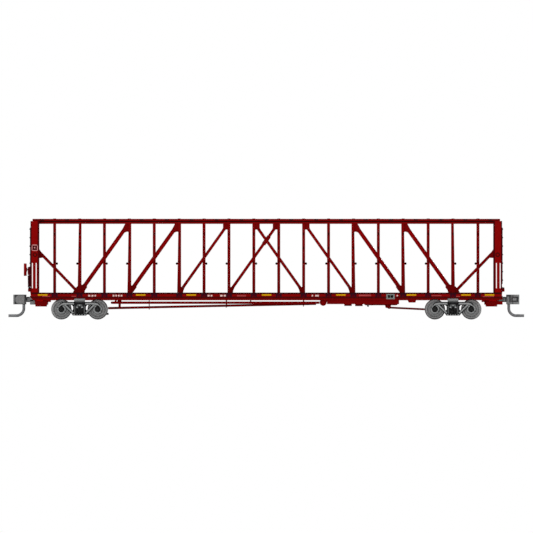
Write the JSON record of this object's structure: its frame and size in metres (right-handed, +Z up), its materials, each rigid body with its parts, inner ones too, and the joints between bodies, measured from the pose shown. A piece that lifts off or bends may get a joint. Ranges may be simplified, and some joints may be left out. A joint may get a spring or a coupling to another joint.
{
  "type": "centre-beam bulkhead flat car model",
  "caption": "Model railway flat car with a truss partition along its middle, end bulkheads, swivelling four-wheel trucks and knuckle couplers, in N scale.",
  "frame": {"origin": "under the middle of the car, level with the bottom of the wheel flanges", "axes": "+X along the car to its A end (the hand brake is at -X), +Y to its left side, +Z up"},
  "size_m": [0.1578, 0.018, 0.0308],
  "materials": {
    "red_plastic": "satin painted",
    "grey_plastic": "satin moulded acetal",
    "black_plastic": "satin moulded",
    "steel": "plain",
    "phosphor_bronze": "rolled strip"
  },
  "bodies": {
    "car_body": {"underframe": "red_plastic", "deck": "red_plastic", "weight": "steel", "center_partition": "red_plastic", "bulkhead_b": "red_plastic", "bulkhead_a": "red_plastic", "ladder_b_left": "red_plastic", "ladder_b_right": "red_plastic", "ladder_a_left": "red_plastic", "ladder_a_right": "red_plastic", "end_platform_b": "red_plastic", "end_platform_a": "red_plastic", "brake_housing": "red_plastic", "brake_rod_vertical": "red_plastic", "brake_cylinder": "red_plastic", "air_reservoir": "red_plastic", "control_valve": "red_plastic", "train_pipe": "red_plastic", "brake_rod_b": "red_plastic", "brake_rod_a": "red_plastic", "brake_lever": "red_plastic", "coupler_box_b": "grey_plastic", "coupler_box_a": "red_plastic", "box_screw_b": "steel", "box_screw_a": "steel", "truck_pin_b": "black_plastic", "truck_pin_a": "black_plastic", "centring_spring_b": "phosphor_bronze", "centring_spring_a": "phosphor_bronze"},
    "brake_wheel": {"brake_wheel": "red_plastic"},
    "truck_b": {"truck_frame_b": "grey_plastic"},
    "wheelset_b1": {"axle_b1": "steel", "wheel_b1_right": "grey_plastic", "wheel_b1_left": "grey_plastic", "bearing_cap_b1_right": "black_plastic", "bearing_cap_b1_left": "black_plastic"},
    "wheelset_b2": {"axle_b2": "steel", "wheel_b2_right": "grey_plastic", "wheel_b2_left": "grey_plastic", "bearing_cap_b2_right": "black_plastic", "bearing_cap_b2_left": "black_plastic"},
    "coupler_b": {"coupler_body_b": "grey_plastic", "knuckle_pin_b": "steel", "trip_pin_b": "steel"},
    "knuckle_b": {"knuckle_b": "grey_plastic"},
    "truck_a": {"truck_frame_a": "grey_plastic"},
    "wheelset_a1": {"axle_a1": "steel", "wheel_a1_right": "grey_plastic", "wheel_a1_left": "grey_plastic", "bearing_cap_a1_right": "black_plastic", "bearing_cap_a1_left": "black_plastic"},
    "wheelset_a2": {"axle_a2": "steel", "wheel_a2_right": "grey_plastic", "wheel_a2_left": "grey_plastic", "bearing_cap_a2_right": "black_plastic", "bearing_cap_a2_left": "black_plastic"},
    "coupler_a": {"coupler_body_a": "grey_plastic", "knuckle_pin_a": "steel", "trip_pin_a": "steel"},
    "knuckle_a": {"knuckle_a": "grey_plastic"}
  },
  "joints": [
    {"name": "brake_wheel_turn", "type": "hinge", "parent": "car_body", "child": "brake_wheel", "pos_m": [-0.0735, 0.00317, 0.01526], "axis": [1, 0, 0], "continuous": true},
    {"name": "truck_b_swivel", "type": "hinge", "parent": "car_body", "child": "truck_b", "pos_m": [-0.05715, 0, 0.0046], "axis": [0, 0, 1], "range_deg": [-15, 15]},
    {"name": "wheelset_b1_roll", "type": "hinge", "parent": "truck_b", "child": "wheelset_b1", "pos_m": [-0.06271, 0, 0.00313], "axis": [0, 1, 0], "continuous": true},
    {"name": "wheelset_b2_roll", "type": "hinge", "parent": "truck_b", "child": "wheelset_b2", "pos_m": [-0.05159, 0, 0.00313], "axis": [0, 1, 0], "continuous": true},
    {"name": "coupler_b_swing", "type": "hinge", "parent": "car_body", "child": "coupler_b", "pos_m": [-0.06826, 0, 0.00614], "axis": [0, 0, 1], "range_deg": [-15, 15], "stiffness_Nm_per_rad": 0.0002},
    {"name": "knuckle_b_open", "type": "hinge", "parent": "coupler_b", "child": "knuckle_b", "pos_m": [-0.07495, 0.00119, 0.00614], "axis": [0, 0, -1], "range_deg": [0, 35], "stiffness_Nm_per_rad": 0.00001},
    {"name": "truck_a_swivel", "type": "hinge", "parent": "car_body", "child": "truck_a", "pos_m": [0.05715, 0, 0.0046], "axis": [0, 0, 1], "range_deg": [-15, 15]},
    {"name": "wheelset_a1_roll", "type": "hinge", "parent": "truck_a", "child": "wheelset_a1", "pos_m": [0.06271, 0, 0.00313], "axis": [0, 1, 0], "continuous": true},
    {"name": "wheelset_a2_roll", "type": "hinge", "parent": "truck_a", "child": "wheelset_a2", "pos_m": [0.05159, 0, 0.00313], "axis": [0, 1, 0], "continuous": true},
    {"name": "coupler_a_swing", "type": "hinge", "parent": "car_body", "child": "coupler_a", "pos_m": [0.06826, 0, 0.00614], "axis": [0, 0, 1], "range_deg": [-15, 15], "stiffness_Nm_per_rad": 0.0002},
    {"name": "knuckle_a_open", "type": "hinge", "parent": "coupler_a", "child": "knuckle_a", "pos_m": [0.07495, -0.00119, 0.00614], "axis": [0, 0, -1], "range_deg": [0, 35], "stiffness_Nm_per_rad": 0.00001}
  ]
}
